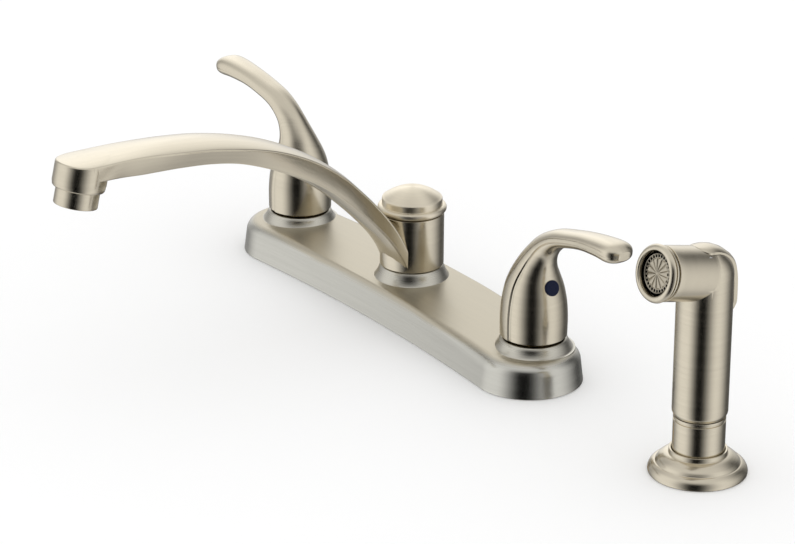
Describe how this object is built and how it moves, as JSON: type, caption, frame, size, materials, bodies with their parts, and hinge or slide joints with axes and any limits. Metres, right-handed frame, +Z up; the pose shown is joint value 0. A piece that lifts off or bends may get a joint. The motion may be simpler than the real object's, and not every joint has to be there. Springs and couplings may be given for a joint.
{
  "type": "side spray kitchen faucet",
  "caption": "Two-handle kitchen faucet on a waisted deck plate, with a low-arc swivel spout and a lift-off side spray in its own holder",
  "frame": {"origin": "on the sink's surface, on the axis that the spout turns on", "axes": "+X along the deck plate towards the cold handle and the side spray, -Y from the spout's axis towards the user, +Z up"},
  "size_m": [0.4197, 0.2256, 0.1719],
  "materials": {
    "nickel": "satin brushed nickel plate",
    "brass": "machined",
    "copper": "drawn copper tube",
    "steel": "plated steel",
    "rubber": "moulded",
    "ceramic": "lapped ceramic",
    "white_plastic": "moulded",
    "grey_plastic": "moulded",
    "blue_plastic": "gloss",
    "red_plastic": "gloss"
  },
  "bodies": {
    "fixed": {"deck_plate": "nickel", "base_plate": "grey_plastic", "valve_body_cold": "brass", "seat_seal_cold": "rubber", "fixed_disc_cold": "ceramic", "cartridge_cold": "brass", "bonnet_nut_cold": "brass", "shank_washer_cold": "steel", "shank_nut_cold": "grey_plastic", "valve_body_hot": "brass", "seat_seal_hot": "rubber", "fixed_disc_hot": "ceramic", "cartridge_hot": "brass", "bonnet_nut_hot": "brass", "shank_washer_hot": "steel", "shank_nut_hot": "grey_plastic", "crossover_cold": "copper", "crossover_hot": "copper", "centre_body": "brass", "post_seal_lower": "rubber", "post_seal_upper": "rubber", "glide_ring": "white_plastic", "spout_nut": "brass", "diverter_spring": "steel", "spray_holder": "nickel", "holder_bush": "white_plastic", "holder_washer": "rubber", "holder_nut": "grey_plastic"},
    "spout": {"spout": "nickel", "spout_cap": "nickel", "aerator_housing": "nickel", "aerator_washer": "rubber", "aerator_screen": "grey_plastic"},
    "diverter": {"diverter_poppet": "white_plastic"},
    "cold_handle": {"handle_cold": "nickel", "stem_cold": "brass", "moving_disc_cold": "ceramic", "set_screw_cold": "steel", "index_button_cold": "blue_plastic"},
    "hot_handle": {"handle_hot": "nickel", "stem_hot": "brass", "moving_disc_hot": "ceramic", "set_screw_hot": "steel", "index_button_hot": "red_plastic"},
    "spray_base": {"spray_collar": "nickel", "hose_coupling": "brass"},
    "spray_wand": {"wand_body": "nickel", "spray_bezel": "nickel", "spray_face": "grey_plastic", "trigger_pin": "steel", "plunger_seal": "rubber", "valve_seat": "rubber", "valve_spring": "steel"},
    "trigger": {"spray_trigger": "nickel"},
    "plunger": {"valve_plunger": "brass"}
  },
  "joints": [
    {"name": "spout_swivel", "type": "hinge", "parent": "fixed", "child": "spout", "pos_m": [0, 0, 0.04], "axis": [0, 0, 1], "range_deg": [-90, 90]},
    {"name": "diverter_slide", "type": "slide", "parent": "fixed", "child": "diverter", "axis": [0, 0, -1], "range_m": [0, 0.003], "stiffness_N_per_m": 60, "springref_m": -0.002, "deforming": ["diverter_spring"]},
    {"name": "cold_turn", "type": "hinge", "parent": "fixed", "child": "cold_handle", "pos_m": [0.1016, 0, 0.05], "axis": [0, 0, -1], "range_deg": [0, 90]},
    {"name": "hot_turn", "type": "hinge", "parent": "fixed", "child": "hot_handle", "pos_m": [-0.1016, 0, 0.05], "axis": [0, 0, 1], "range_deg": [0, 90]},
    {"name": "spray_lift", "type": "slide", "parent": "fixed", "child": "spray_base", "axis": [0, 0, 1], "range_m": [0, 0.12]},
    {"name": "wand_turn", "type": "hinge", "parent": "spray_base", "child": "spray_wand", "pos_m": [0.2273, -0.001, 0.06], "axis": [0, 0, 1], "continuous": true},
    {"name": "trigger_press", "type": "hinge", "parent": "spray_wand", "child": "trigger", "pos_m": [0.2273, -0.0052, 0.107], "axis": [-1, 0, 0], "range_deg": [0, 6], "stiffness_Nm_per_rad": 0.1, "springref_deg": -4.58},
    {"name": "plunger_slide", "type": "slide", "parent": "spray_wand", "child": "plunger", "axis": [0, 0, -1], "range_m": [0, 0.0008], "deforming": ["valve_spring"]}
  ],
  "couplings": [
    {"joint": "plunger_slide", "follows": "trigger_press", "m_per_rad": 0.0072}
  ]
}
